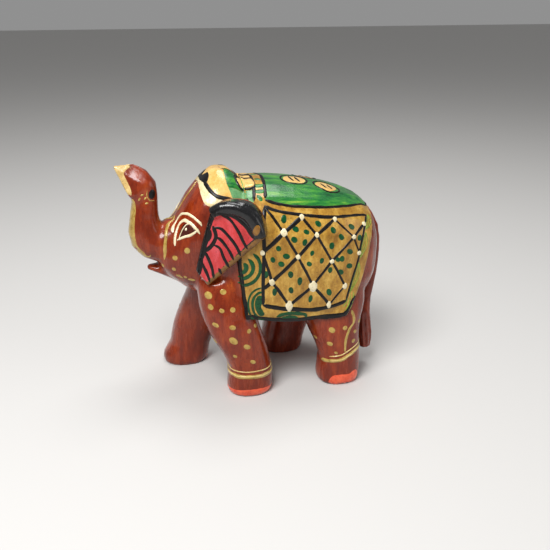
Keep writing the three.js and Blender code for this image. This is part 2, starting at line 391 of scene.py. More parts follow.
class Shader:
    """A node material under construction."""

    def __init__(self, name):
        self.material = bpy.data.materials.new(name)
        self.material.use_nodes = True
        self.tree = self.material.node_tree
        self.surface = self.tree.nodes["Principled BSDF"]
        self.place = self.node("ShaderNodeTexCoord").outputs["Object"]

    def node(self, kind, **values):
        made = self.tree.nodes.new(kind)
        for key, value in values.items():
            setattr(made, key, value)
        return made

    def join(self, source, target):
        self.tree.links.new(source, target)

    def noise(self, stretch, scale, detail, roughness=0.6):
        """Noise fixed to the object, stretched along its axes."""
        mapping = self.node("ShaderNodeMapping")
        mapping.inputs["Scale"].default_value = stretch
        self.join(self.place, mapping.inputs["Vector"])
        made = self.node("ShaderNodeTexNoise")
        made.inputs["Scale"].default_value = scale
        made.inputs["Detail"].default_value = detail
        made.inputs["Roughness"].default_value = roughness
        self.join(mapping.outputs["Vector"], made.inputs["Vector"])
        return made.outputs["Fac"]

    def ramp(self, source, stops):
        """Colours for a value, blended between (position, colour) stops."""
        made = self.node("ShaderNodeValToRGB")
        elements = made.color_ramp.elements
        while len(elements) < len(stops):
            elements.new(0.5)
        for element, (position, colour) in zip(elements, stops):
            element.position = position
            element.color = colour
        self.join(source, made.inputs["Fac"])
        return made.outputs["Color"]

    def multiply(self, first, second):
        made = self.node("ShaderNodeMix", data_type="RGBA", blend_type="MULTIPLY")
        made.inputs["Factor"].default_value = 1.0
        self.join(first, made.inputs["A"])
        self.join(second, made.inputs["B"])
        return made.outputs["Result"]

    def add(self, first, second, weight):
        """The first value plus the second one times the weight."""
        made = self.node("ShaderNodeMath", operation="MULTIPLY_ADD")
        made.inputs[1].default_value = weight
        self.join(second, made.inputs[0])
        self.join(first, made.inputs[2])
        return made.outputs["Value"]


def grey(value):
    return (value, value, value, 1.0)


BLOTCH_SCALE = 75  # of the broad patches
PIT_SCALE = 1500  # of the fine pits
RELIEF_DEPTH = 0.15 * MM


def lacquered(name, tones, stretch=(1, 1, 1), grain=300, rough=(0.22, 0.4), relief=0.3, metallic=0.0,
              coat=0.6, haze=0.12):
    """Hand-brushed paint under lacquer: streaky tone, blotches, fine pits and a glossy coat.

    tones are (position, sRGB colour) along the streaks. haze is the roughness of the lacquer.
    """
    shader = Shader(name)
    streaks = shader.noise(stretch, grain, 7, 0.68)
    blotches = shader.noise((1, 1, 1), BLOTCH_SCALE, 3)
    pits = shader.noise((1, 1, 1), PIT_SCALE, 2)
    colour = shader.ramp(streaks, [(position, linear(*tone)) for position, tone in tones])
    colour = shader.multiply(colour, shader.ramp(blotches, [(0.3, grey(0.8)), (0.7, grey(1.0))]))
    colour = shader.multiply(colour, shader.ramp(pits, [(0.28, grey(0.55)), (0.4, grey(1.0))]))
    shader.join(colour, shader.surface.inputs["Base Color"])
    shader.join(shader.ramp(streaks, [(0.3, grey(rough[0])), (0.7, grey(rough[1]))]),
                shader.surface.inputs["Roughness"])
    height = shader.add(streaks, pits, 0.7)
    bump = shader.node("ShaderNodeBump")
    bump.inputs["Strength"].default_value = relief
    bump.inputs["Distance"].default_value = RELIEF_DEPTH
    shader.join(height, bump.inputs["Height"])
    shader.join(bump.outputs["Normal"], shader.surface.inputs["Normal"])
    shader.join(bump.outputs["Normal"], shader.surface.inputs["Coat Normal"])
    shader.surface.inputs["Metallic"].default_value = metallic
    shader.surface.inputs["Specular IOR Level"].default_value = 0.2
    shader.surface.inputs["Coat Weight"].default_value = coat
    shader.surface.inputs["Coat Roughness"].default_value = haze
    return shader.material


def two_tone(name, dark, light, **looks):
    """A lacquered paint that runs from a dark tone to a light one."""
    return lacquered(name, [(0.3, dark), (0.7, light)], **looks)


BROWN = lacquered(
    "brown_lacquer",
    [(0.25, (88, 24, 7)), (0.45, (122, 38, 11)), (0.6, (144, 52, 15)), (0.78, (188, 92, 34))],
    stretch=(1, 1, 0.2), grain=240, rough=(0.2, 0.34), relief=0.2, coat=0.5)
GOLD = lacquered(
    "gold_cloth",
    [(0.3, (134, 90, 26)), (0.5, (180, 134, 48)), (0.7, (222, 180, 84))],
    stretch=(1, 1, 0.5), grain=260, rough=(0.28, 0.42), metallic=0.15, haze=0.2)
GREEN = lacquered(
    "green_paint",
    [(0.3, (2, 70, 32)), (0.46, (12, 104, 42)), (0.6, (62, 142, 44)), (0.76, (150, 186, 62))],
    stretch=(0.2, 1, 1), grain=420, relief=0.6, haze=0.32)
PALE_GREEN = two_tone("pale_green_paint", (64, 128, 78), (120, 168, 112), grain=300, haze=0.3)
DARK_GREEN = two_tone("dark_green_paint", (0, 48, 26), (2, 86, 38), grain=500, coat=0.3)
OLIVE = two_tone("olive_paint", (104, 130, 34), (160, 180, 62), grain=500)
BLACK = two_tone("black_paint", (5, 4, 5), (18, 16, 16), grain=500, rough=(0.3, 0.45), coat=0.2)
ROLL_BLACK = two_tone(
    "ear_roll_black_paint", (8, 8, 10), (26, 26, 28), grain=400, rough=(0.2, 0.32), relief=0.5)
TIP_CREAM = two_tone("trunk_cream_paint", (186, 148, 80), (226, 198, 136), grain=420)
CREAM = two_tone("cream_paint", (214, 198, 152), (244, 234, 202), grain=500, rough=(0.3, 0.45))
BROW_CREAM = two_tone("brow_cream_paint", (206, 182, 124), (236, 224, 182), stretch=(1, 1, 0.3), grain=260)
YELLOW = two_tone("yellow_gold_paint", (152, 118, 46), (206, 176, 94), grain=420, metallic=0.1)
# Used for a painted highlight, a brighter line along each anklet's crest, and for the thin painted line above
# it.
ANKLET_GOLD_AND_HIGHLIGHT = two_tone("anklet_gold_paint_and_highlight", (206, 172, 88), (240, 218, 150), grain=420)
CAP_GOLD = two_tone("cap_gold_paint", (206, 156, 74), (240, 202, 126), stretch=(1, 1, 0.4), grain=260)
RED = lacquered(
    "ear_red_paint",
    [(0.3, (170, 32, 34)), (0.5, (200, 50, 52)), (0.72, (214, 88, 98))],
    stretch=(1, 1, 0.4), grain=200)
# Also the painted shade in the trunk's mouth.
EYE_BROWN_AND_MOUTH_SHADE = two_tone("eye_brown_paint_and_mouth_shade", (52, 16, 8), (84, 30, 14), grain=500)
EAR_EDGE = two_tone("ear_edge_paint", (104, 66, 18), (150, 104, 36), grain=300)
ORANGE = two_tone("orange_paint", (214, 66, 36), (246, 110, 72), grain=400)


# ---- Refined carvings ----

SOLE_HEIGHT = 1.5  # below this the knife leaves the feet flat
KNIFE_WAVES = ((0.16, 0.16), (0.05, 0.55))  # height, and how closely they follow each other
TRUNK_TIP = (-54.6, 0, 93.5)
TRUNK_END = 12.0  # within this of the tip the trunk keeps its crisp facets
TRUNK_END_FADE = 6.0
TRUNK_END_SHARE = 0.06  # of the smoothing that the trunk's end still gets
TUFT_TOP = 26.0
TUFT_FOOT = 8.0
TUFT_AXIS = (47.8, -7)
TUFT_GROOVES = 9
GROOVE_DEPTH = 0.45
GROOVE_TWIST = 0.25  # radians in each millimetre of height
SHOULDER = (-14, 16, 50)  # where a front leg's top meets the cheek
SHOULDER_REACH = 13.0


def applied(obj):
    """Replaces the object's mesh with what its modifiers make of it."""
    graph = bpy.context.evaluated_depsgraph_get()
    mesh = bpy.data.meshes.new_from_object(obj.evaluated_get(graph))
    obj.modifiers.clear()
    obj.data = mesh
    return obj


def smoothed(obj, passes, share=None):
    """Evens out the mesh. share(point) says how much, from 0 to 1, at a point in millimetres."""
    smooth = obj.modifiers.new("smooth", "SMOOTH")
    smooth.iterations = passes
    if share:
        group = obj.vertex_groups.new(name="share")
        for vertex in obj.data.vertices:
            group.add([vertex.index], share(vertex.co / MM), "REPLACE")
        smooth.vertex_group = "share"
    applied(obj)
    obj.vertex_groups.clear()


def refined(name, node, voxel, passes, material, share=None):
    """A dense smooth copy of a CAD node, which it stands for."""
    obj = bpy.data.objects.new(name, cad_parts[node].data.copy())
    bpy.context.scene.collection.objects.link(obj)
    remesh = obj.modifiers.new("remesh", "REMESH")
    remesh.mode = "VOXEL"
    remesh.voxel_size = voxel * MM
    applied(obj)
    smoothed(obj, passes, share)
    obj.data.shade_smooth()
    obj.data.materials.clear()
    obj.data.materials.append(material)
    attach(obj, "root")
    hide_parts(node)
    return obj


def carve(obj, rule):
    """Moves each vertex along its normal by what rule(point) says, all in millimetres."""
    mesh = obj.data
    normals = [vertex.normal.copy() for vertex in mesh.vertices]
    for vertex, normal in zip(mesh.vertices, normals):
        vertex.co += normal * rule(vertex.co / MM) * MM
    mesh.update()


def hand_cut(point):
    """The gentle unevenness of knife work. The soles stay flat."""
    if point.z < SOLE_HEIGHT:
        return 0.0
    return sum(height * noise.noise(point * rate) for height, rate in KNIFE_WAVES)


def tuft_grooves(point):
    """Carved hair: long grooves in the tail's tuft, which fade out at its top and foot."""
    depth = GROOVE_DEPTH * max(0.0, min(1.0, (TUFT_TOP - point.z) / 4)) * min(1.0, (point.z - TUFT_FOOT) / 3)
    angle = math.atan2(point.y - TUFT_AXIS[1], point.x - TUFT_AXIS[0])
    groove = 0.5 + 0.5 * math.cos(TUFT_GROOVES * angle + GROOVE_TWIST * point.z)
    return -depth * groove + 0.1 * noise.noise(point * 0.4)


def except_trunk_end(point):
    """The share of smoothing that keeps the knife facets at the trunk's end crisp."""
    return min(1.0, max(TRUNK_END_SHARE, (math.dist(point, TRUNK_TIP) - TRUNK_END) / TRUNK_END_FADE))


def at_shoulders(point):
    """The share of smoothing that melts the front legs' tops into the cheeks."""
    return max(0.0, 1 - math.dist((point.x, abs(point.y), point.z), SHOULDER) / SHOULDER_REACH)


wood = refined("wood_body", "carved_block", BODY_VOXEL, 14, BROWN, except_trunk_end)
smoothed(wood, 90, at_shoulders)
cloth = refined("cloth_body", "saddle_cloth", FINE_VOXEL, 6, GOLD)
tail = refined("tail_carving", "tail", FINE_VOXEL, 8, BROWN)
ears = {LEFT: refined("ear_left_carving", "ear_left", FINE_VOXEL, 5, RED),
        RIGHT: refined("ear_right_carving", "ear_right", FINE_VOXEL, 5, RED)}
carve(wood, hand_cut)
carve(tail, tuft_grooves)

wood_tree = millimetre_tree(wood)
cloth_tree = millimetre_tree(cloth, wood)
ear_trees = {side: millimetre_tree(ears[side]) for side in SIDES}
flank = {side: wrap_chart(cloth_tree, side) for side in SIDES}
face = {side: side_chart(wood_tree, side) for side in SIDES}
crown = wrap_chart(wood_tree, LEFT)

# ---- The saddle cloth: u is x, v is degrees down from the ridge ----

CROSSINGS = {
    "a": (14, 51.5), "b": (6.4, 63), "c": (19.4, 67), "d": (27.4, 54.5), "e": (40.5, 59),
    "f": (11.7, 85), "g": (25.5, 92), "h": (35.1, 71.5), "i": (37.6, 88), "j": (1.4, 107),
    "k": (17.9, 113), "l": (31.6, 117), "m": (8.3, 126.5), "n": (24.9, 128.5), "o": (-2, 79),
}
PANEL_CORNERS = {"p": (0.2, 41.5), "q": (-2, 113.5)}
LATTICE = [("pbfkn", 1.15), ("acgl", 1.1), ("dhi", 0.85), ("ojm", 1.2), ("oba", 1.7), ("qjfcd", 1.45),
           ("mkghe", 1.15), ("nl", 0.85)]
DIAMONDS = ["abfc", "obfj", "fckg", "dcgh", "jfkm", "gklh", "hgil", "kln", "mkn", "eih", "pab", "acd", "dhe",
            "oqj", "qjm"]
BUSY_DIAMONDS = ("abfc", "obfj")  # with four dabs
PANEL_TOP = [(-0.1, 40), (4, 44.5), (9.5, 48), (18, 51), (25.4, 52.5), (34, 51.5), (42.5, 48)]
PANEL_SIDES = [[(-0.1, 41), (-1.1, 59), (-1.6, 86), (-2, 114), (-2.1, 126)],
               [(-2.1, 126), (6.7, 128), (17, 130), (25.4, 130), (32.4, 128.5)],
               [(42.5, 48), (38.9, 75), (37.1, 95), (34.7, 114), (32.4, 128.5)]]
GREEN_EDGE = [(0.6, 35.2), (6.2, 39.5), (13.9, 42.6), (26.4, 43), (36, 40), (44.6, 30)]
CLOTH_FRONT = [(-5.9, 82), (-6.2, 78), (-8.4, 69.5), (-10.6, 60.2), (-9.5, 48), (-8.2, 36.6)]
CLOTH_HEM = [(-8.2, 36.6), (-2, 34.9), (5, 33.9), (13, 33.3), (22, 33.2), (29, 33.5), (32.4, 34.2),
             (36.6, 40.4)]
HEM_SWIRL = [([(3.4, 133.6), (6, 131.8), (9.5, 131.4), (13, 131.8), (15.3, 133.2), (16, 136.4)], 1.3),
             ([(4.8, 136.2), (7.2, 134.6), (10.2, 134.6), (12.6, 136.2)], 1.4)]
REAR_STROKES = ((46, 65), (67, 94), (98, 124))  # from and to, in degrees
BEAD_SIZES = {"k": 3.6, "j": 2.6, "m": 3.2, "b": 2.6}
USUAL_BEAD = 2.0
BEAD_HEIGHT = 0.42
LONG_BEAD = 1.15  # length of a bead over its width
DAB_REACH = 2.7  # from the middle of a diamond to each of its dabs


def paint_cloth(side, seed):
    """One side: the lattice with its beads and dabs, the arcs before it and the thin lines behind it."""
    chart = flank[side]
    black, cream, dabs = Coat(seed), Coat(seed + 1), Coat(seed + 2)
    arcs, olive = Coat(seed + 3), Coat(seed + 4)
    spots = {**CROSSINGS, **PANEL_CORNERS}
    for names, width in LATTICE:
        black.stroke(chart, [spots[n] for n in names], width, rounded=False)
    for line, width in zip(PANEL_SIDES, (1.5, 1.25, 1.05)):
        black.stroke(chart, line, width)
    black.stroke(chart, PANEL_TOP, 1.3)
    black.stroke(chart, GREEN_EDGE, 1.25)
    black.stroke(side_chart(cloth_tree, side), CLOTH_FRONT, 1.5, LOW_LIFT)
    black.stroke(side_chart(cloth_tree, side), CLOTH_HEM, 1.4, LOW_LIFT)
    for name, spot in CROSSINGS.items():
        size = BEAD_SIZES.get(name, USUAL_BEAD)
        cream.bead(chart, *spot, size, BEAD_HEIGHT, size * LONG_BEAD, turn=80)
    for names in DIAMONDS:
        middle = [sum(spots[n][axis] for n in names) / len(names) for axis in (0, 1)]
        count = 4 if names in BUSY_DIAMONDS else 3 if len(names) == 4 else 1
        reach = DAB_REACH if count > 1 else 0.0
        turned = dabs.random.uniform(40, 140)
        for k in range(count):
            angle = math.radians(turned + 360 / count * k + dabs.random.uniform(-20, 20))
            u = middle[0] + reach * math.cos(angle)
            v = middle[1] + 1.2 * reach * math.sin(angle) / chart.unit
            size = dabs.random.uniform(1.8, 2.4)
            dabs.bead(chart, u, v, size, LOW_LIFT, size * 1.35, turn=dabs.random.uniform(20, 110))
    for radius, width in ((2.7, 1.9), (5.2, 1.7), (8.1, 1.4)):
        arcs.stroke(chart, arc((-11, 93), radius, -48, 92, chart.unit), width, FLAT_LIFT)
    for radius, width in ((2.5, 2.6), (4.5, 1.1), (6.1, 0.8)):
        arcs.stroke(chart, arc((-1.6, 126), radius, 88, 262, chart.unit), width, FLAT_LIFT)
    for points, width in HEM_SWIRL:
        arcs.stroke(chart, points, width, FLAT_LIFT)
    for radius in (2.4, 3.8, 5.2):
        olive.stroke(chart, arc((30.6, 126.5), radius, -12, 74, chart.unit), 0.6, THIN_LIFT)
    border = [(angle, (x, 0, 0)) for x, angle in PANEL_SIDES[2]]
    for start, end in REAR_STROKES:
        for bulge in (0.7, 1.7, 2.7):
            bent = [(start, 0.9), ((start * 2 + end) / 3, bulge), ((start + end * 2) / 3, bulge), (end, 0.8)]
            line = [(along(border, angle).x + out, angle) for angle, out in bent]
            olive.stroke(chart, line, 0.42, THIN_LIFT)
    black.make(side_name("cloth_lines", side), BLACK, CLOTH)
    cream.make(side_name("cloth_beads", side), CREAM, CLOTH)
    dabs.make(side_name("cloth_dabs", side), DARK_GREEN, CLOTH)
    arcs.make(side_name("cloth_arcs", side), DARK_GREEN, CLOTH)
    olive.make(side_name("cloth_rear_lines", side), OLIVE, CLOTH)


def side_name(name, side):
    """The name of a piece that each side has."""
    return f"{name}_{'left' if side == LEFT else 'right'}"


def paint_cloth_rim():
    """Blackens the cloth's front edge and hem, outside the lines that run beside them."""
    cloth.data.materials.append(BLACK)
    front = [(z, (x, 0, z)) for x, z in reversed(CLOTH_FRONT)]
    hem = [(x, (x, 0, z)) for x, z in CLOTH_HEM]
    for polygon in cloth.data.polygons:
        spot = polygon.center / MM
        before = front[0][0] < spot.z < front[-1][0] and spot.x < along(front, spot.z).x
        below = hem[0][0] < spot.x < hem[-1][0] and spot.z < along(hem, spot.x).z
        corner = spot.z < front[0][0] and spot.x < hem[0][0]
        polygon.material_index = int(before or below or corner)


# ---- The ridge: the same chart ----

GREEN_REAR = [(44.6, 30), (46.4, 12), (46.6, -12), (44.6, -30)]
FLOWER_X = 23.0  # of the flower's middle, which is on the ridge
PETALS = [(-7.2, 2.6, 16), (5.6, 6, 143), (0.2, -8.2, 262)]  # along, across and turned in degrees
PETAL_LENGTH = 11.0
PETAL_WIDTH = 9.4
PETAL_HEIGHT = 0.2
RING_HALF_LENGTH = 5.5  # of a petal's black outline
RING_HALF_WIDTH = 4.7
RING_POINTS = 20
DASH_REACH = 2.2  # half the length of a petal's two dashes
STRAP_FRONT = [(-1.4, 0), (-1.7, 12), (-2.5, 24), (-3.6, 35)]
STRAP_REAR = [(2.8, 0), (2.5, 12), (1.8, 24), (0.8, 34)]
STRAP_BARS = (19, 26)  # degrees
STRAP_DOTS = ((0.6, 8, 20), (-1.2, 33, 60))  # x, degrees and turn


def mirrored(points):
    """The points, then their reflections across the ridge in reverse, as a closed outline."""
    return points + [(u, -v) for u, v in reversed(points) if v > 0]


def paint_petal(gold, black, chart, along_ridge, across_ridge, turned):
    """One petal of the flower, with its black outline and two dashes."""
    u, v = FLOWER_X + along_ridge, across_ridge / chart.unit
    way = math.radians(turned)
    gold.bead(chart, u, v, PETAL_WIDTH, PETAL_HEIGHT, PETAL_LENGTH, turn=180 - turned)
    ring = []
    for k in range(RING_POINTS):
        angle = 2 * math.pi * k / RING_POINTS
        a, b = RING_HALF_LENGTH * math.cos(angle), RING_HALF_WIDTH * math.sin(angle)
        ring.append((u - a * math.cos(way) - b * math.sin(way),
                     v + (a * math.sin(way) - b * math.cos(way)) / chart.unit))
    black.stroke(chart, ring, 0.9, 0.3, closed=True)
    reach = DASH_REACH / chart.unit
    for shift in (-1.3, 1.3):
        dash = [(u + shift - 0.5, v - reach), (u + shift + 0.5, v + reach)]
        black.stroke(chart, dash, 1.3, 0.34)


def paint_ridge():
    """The green panel along the back, its flower and the strap across the shoulders."""
    chart = flank[LEFT]
    green, gold, black = Coat(51), Coat(52), Coat(53)
    green.film(chart, mirrored(STRAP_REAR + GREEN_EDGE + [GREEN_REAR[1]]), PATCH_LIFT, rounded=False)
    black.stroke(chart, GREEN_REAR, 0.9)
    for petal in PETALS:
        paint_petal(gold, black, chart, *petal)
    for edge in (STRAP_FRONT, STRAP_REAR):
        black.stroke(chart, [(x, -angle) for x, angle in reversed(edge[1:])] + edge, 1.45)
    strap = [(angle, (x, 0, 0)) for x, angle in STRAP_FRONT]
    for side in SIDES:
        for angle in STRAP_BARS:
            x = along(strap, angle).x
            bar = [(x, angle), (x + 2.1, angle + 0.8), (x + 4.1, angle)]
            green.stroke(flank[side], bar, 2.1, LOW_LIFT)
        for x, angle, turned in STRAP_DOTS:
            green.bead(flank[side], x, angle, 1.9, LOW_LIFT, 3.2, turn=turned)
    green.make("ridge_green", GREEN, CLOTH)
    gold.make("ridge_petals", CAP_GOLD, CLOTH)
    black.make("ridge_lines", BLACK, CLOTH)


# ---- The cap and collar: the same chart ----

CAP_LINE = [(-20.9, 11), (-20, 19), (-18.6, 25), (-16.9, 28.5), (-13.9, 30.5), (-11, 31.5)]
CAP_REAR = [(-11, 31.5), (-12.5, 21), (-13, 8), (-14, 0)]
CAP_FRONT = (-20.9, 0)
CAP_POINT = [(-21.9, -0.5), (-21.9, 8), (-20.6, 15), (-18.7, 10), (-18.9, 3)]  # black, on the brow
BROW_FRONT = [(-22.9, 0), (-23, 11), (-22.9, 21), (-22.3, 29), (-20.5, 33.5), (-17, 34.5), (-13, 34)]
COLLAR_GREEN = [(-14.4, 5.2), (-13.8, 8), (-13.2, 22.5), (-2.5, 24), (-1.6, 5.2)]
COLLAR_PALE = [(-13.2, 22), (-11.8, 31.5), (-9.5, 38), (-3.7, 37), (-2.5, 24)]
COLLAR_DISC = [(-8.4, 13), (-7, 7), (-3.8, 6.6), (-1.6, 7), (-1.6, 18), (-3.6, 21), (-7, 19.6)]
COLLAR_RING = [(-1.6, 5.6), (-6.2, 5.6), (-8.5, 8.8), (-8.8, 13.4), (-7.6, 20), (-4.2, 22.4), (-1.6, 20)]
COLLAR_BAND = [(-14, 0), (-13.9, 5.5), (-1.6, 6)]
BAND_LINE = [(-13.9, 5.5), (-8, 5.2), (-1.6, 6)]
DISC_LIFT = 0.36  # clears the step at the cloth's front edge
RING_LIFT = 0.5


def paint_collar(side, gold, black, green, pale):
    """One side of the collar with its disc, and the cap's black edge and point."""
    chart = flank[side]
    green.film(chart, COLLAR_GREEN, 0.06, rounded=False)
    pale.film(chart, COLLAR_PALE, 0.05, rounded=False)
    gold.film(chart, COLLAR_DISC, DISC_LIFT, spacing=0.5)
    black.stroke(chart, COLLAR_RING, 1.0, RING_LIFT)
    black.stroke(chart, CAP_LINE, 1.5, 0.24)
    black.film(chart, CAP_POINT, 0.16, spacing=0.5)


def paint_cap():
    """The gold cap, the cream patch before it and the green collar behind it."""
    chart = flank[LEFT]
    gold, cream, black = Coat(61), Coat(62), Coat(63)
    green, pale = Coat(64), Coat(65)
    gold.film(chart, mirrored([CAP_FRONT] + CAP_LINE + CAP_REAR), AREA_LIFT)
    brow = BROW_FRONT + list(reversed(CAP_LINE)) + [CAP_FRONT]
    cream.film(chart, mirrored(brow), PATCH_LIFT)
    for side in SIDES:
        paint_collar(side, gold, black, green, pale)
    gold.film(chart, mirrored(COLLAR_BAND), AREA_LIFT, rounded=False)
    for across in (1, -1):
        black.stroke(chart, [(x, across * angle) for x, angle in BAND_LINE], 0.4)
    gold.make("cap_gold", CAP_GOLD, WOOD)
    cream.make("cap_cream", BROW_CREAM, WOOD)
    black.make("cap_lines", BLACK, WOOD)
    green.make("collar_green", GREEN, WOOD)
    pale.make("collar_pale_green", PALE_GREEN, WOOD)


# ---- The face: x and z, which around_face turns into the face's own chart ----

FACE_AXIS = [(40, (-17, 0, 40)), (95, (-17, 0, 95))]  # upright, through the middle of the head
EYE_BROW = [
    (-34.1, 68.2), (-32.4, 71.6), (-30.5, 74.6), (-28.4, 75.9), (-26.6, 75.3), (-24.6, 73.8),
    (-23.7, 72.4)]
EYE_LID = [
    (-33.9, 63.9), (-33.4, 67.4), (-31.6, 71.3), (-29.7, 73.4), (-27.8, 73), (-25.9, 71.2),
    (-24.6, 69.4)]
EYE_UNDER = [(-32.9, 66.2), (-30.4, 67.7), (-27.9, 68.8), (-25.4, 70.6)]
EYE_STROKES = ((EYE_BROW, 1.05), (EYE_LID, 1.25), (EYE_UNDER, 1.05))
INNER_LID = [(x + 1.1, z - 0.9) for x, z in EYE_LID[1:6]]
EYE_DARK = [(-32.2, 67.2), (-31, 70.6), (-29.6, 72.5), (-27.8, 72), (-26, 70.4), (-28.5, 69)]
# A painted highlight: a white dot on the eye where its gloss would shine.
PAINTED_EYE_HIGHLIGHT = (-29.4, 70.5)
JAW_STROKES = [[(-34, 51.4), (-31.5, 50.3)], [(-29.6, 49.8), (-26.8, 49.4)]]
CHEEK_DOTS = [
    (-29.7, 62.6, 2.6), (-34.2, 59.2, 2.0), (-38.7, 54.6, 1.5), (-34.8, 54.2, 1.7),
    (-33.0, 51.2, 1.5), (-30.6, 50.8, 1.3)]
FOREHEAD_LINE = [(72.6, 0), (70.8, 9), (69, 17), (65.6, 22), (60.4, 22.5), (57.5, 21)]  # height, degrees
BROW_LINE = [(-23, 0), (-25.5, 2), (-28, 1), (-31, 0)]  # x, degrees from the ridge


def paint_face():
    """The eyes, each with a painted highlight, the gold lines over the brow and the dots on the cheeks."""
    white, dark, gold = Coat(71), Coat(72), Coat(73)
    for side in SIDES:
        seen = face[side]
        front = upright_chart(wood_tree, FACE_AXIS, side, FACE_RADIUS)
        dark.film(front, around_face(seen, EYE_DARK), PATCH_LIFT, spacing=0.5)
        for points, width in EYE_STROKES:
            white.stroke(front, around_face(seen, points), width, 0.28)
        white.stroke(front, around_face(seen, INNER_LID), 0.5, 0.22)
        # The white dot is a painted highlight.
        white.bead(front, *around_face(seen, [PAINTED_EYE_HIGHLIGHT])[0], 1.1, 0.35)
        for points in JAW_STROKES:
            gold.stroke(front, around_face(seen, points), 1.4, FLAT_LIFT)
        for x, z, size in CHEEK_DOTS:
            spot = around_face(seen, [(x, z)])[0]
            gold.bead(front, *spot, size, FLAT_LIFT, turn=gold.random.uniform(0, 180))
        gold.stroke(front, FOREHEAD_LINE, 0.8)
    gold.stroke(crown, BROW_LINE, 0.9)
    white.make("eye_lines_and_highlights", CREAM, WOOD)
    dark.make("eye_darks", EYE_BROWN_AND_MOUTH_SHADE, WOOD)
    gold.make("face_gold", YELLOW, WOOD)


# ---- The ears: u is x, v is z ----

EAR_FRONT = [(-19.9, 80.6), (-21.6, 76), (-23.4, 69), (-24.8, 63.1), (-26.2, 58), (-27, 53.6)]
ROLL_INNER = [(-19.8, 79.3), (-16.2, 79), (-12.9, 77.8), (-10.1, 75.6), (-8.2, 73.3), (-6.4, 69.8)]
EAR_STRIPES = [
    [(-17.6, 78.8), (-14.3, 76.6), (-11.6, 72.5), (-9.9, 68.6), (-8.3, 65.3)],
    [(-20.4, 73.3), (-17.6, 73), (-14.8, 70), (-12, 65.7), (-10.7, 62.5)],
    [(-19.4, 69.8), (-17.3, 68.3), (-14.9, 64.4), (-13.3, 60.8)],
    [(-20.3, 66.6), (-18.1, 65.1), (-16.8, 61.5), (-15, 57.4)],
    [(-23.9, 64), (-22.6, 61.3), (-21.3, 57.2), (-20.8, 53)],
    [(-25.5, 60.3), (-24.2, 57.5), (-22.8, 53.9), (-22.3, 51.2)],
    [(-18.9, 57.2), (-17.8, 54.6)],
]
EAR_CURLS = [
    [(-20.4, 74.1), (-19.4, 70.2), (-20.6, 67), (-22.8, 64.5), (-24.7, 63.6)],
    [(-21.8, 73.2), (-21.6, 70.1), (-23.1, 67.3)]]
EAR_INSIDE = [(-20.8, 77.6)] + ROLL_INNER[1:5] + [
    (-6.2, 69.2), (-23.2, 51.6), (-25.8, 52), (-25.4, 58), (-24, 63.5), (-22.6, 69)]
EAR_KNOT = (-5.2, 73.4)
EAR_HINGE = (-27.3, 17.7)  # x and y
EAR_SPLAY = 0.34  # radians
EAR_BACK_DEPTH = -3.6  # the brown back is further in than this from the plane that the ear turns in
EAR_INNER_DEPTH = -0.8  # the red face is further out than this
EAR_REAR_TOP = (-2.4, 70)
EAR_REAR_FOOT = (-22.9, 49.9)
EAR_REAR_WIDTH = 1.6  # of the gold-brown edge
EAR_REAR_LIMIT = 69.5  # height where that edge ends


def ear_depth(side, point):
    """How far out from the ear's hinge a place lies, across the ear, in millimetres."""
    return ((side * point.y - EAR_HINGE[1]) * math.cos(EAR_SPLAY)
            - (point.x - EAR_HINGE[0]) * math.sin(EAR_SPLAY))


def trim_black(side, ear):
    """Slides the vertices nearest to the black paint's back edge on to it, which makes it a clean line."""
    out = Vector((-math.sin(EAR_SPLAY), side * math.cos(EAR_SPLAY), 0))
    for vertex in ear.data.vertices:
        beyond = ear_depth(side, vertex.co / MM) - EAR_BACK_DEPTH
        slide = out - vertex.normal * out.dot(vertex.normal)
        if abs(beyond) < FINE_VOXEL / 2 and slide.length > 0.5:
            vertex.co -= slide * (beyond / slide.length_squared) * MM


def ear_slot_of(side, point):
    """Which ear paint a place has: 0 red inside, 1 black rim, 2 brown back, 3 gold-brown rear edge."""
    flat = np.array([(point.x, point.z)])
    depth = ear_depth(side, point)
    if depth < EAR_BACK_DEPTH:
        return 2
    if inside(flat, np.array(EAR_INSIDE))[0] and depth > EAR_INNER_DEPTH:
        return 0
    run = (EAR_REAR_FOOT[0] - EAR_REAR_TOP[0], EAR_REAR_FOOT[1] - EAR_REAR_TOP[1])
    across = (point.x - EAR_REAR_TOP[0]) * run[1] - (point.z - EAR_REAR_TOP[1]) * run[0]
    behind = across / math.hypot(*run) < EAR_REAR_WIDTH and point.z < EAR_REAR_LIMIT
    return 3 if behind else 1


def paint_ear(side, seed):
    """One ear: its four paints, its black lines and the knot on its roll."""
    ear, chart = ears[side], side_chart(ear_trees[side], side)
    for material in (ROLL_BLACK, BROWN, EAR_EDGE):
        ear.data.materials.append(material)
    trim_black(side, ear)
    for polygon in ear.data.polygons:
        polygon.material_index = ear_slot_of(side, polygon.center / MM)
    lines = Coat(seed)
    for points in EAR_STRIPES:
        lines.stroke(chart, points, 1.2, LOW_LIFT)
    for points in EAR_CURLS:
        lines.stroke(chart, points, 1.5, LOW_LIFT)
    lines.stroke(chart, EAR_FRONT, 2.7)
    lines.stroke(chart, ROLL_INNER, 1.3, FLAT_LIFT)
    knot = Coat(seed + 1)
    knot.bead(chart, *EAR_KNOT, 2.6, FLAT_LIFT, 4.4, turn=70)
    knot.make(side_name("ear_knot", side), EAR_EDGE, EAR)
    lines.make(side_name("ear_lines", side), BLACK, EAR)


# ---- The trunk: millimetres along it and degrees round it from its outer curve, x and z, or y and z ----

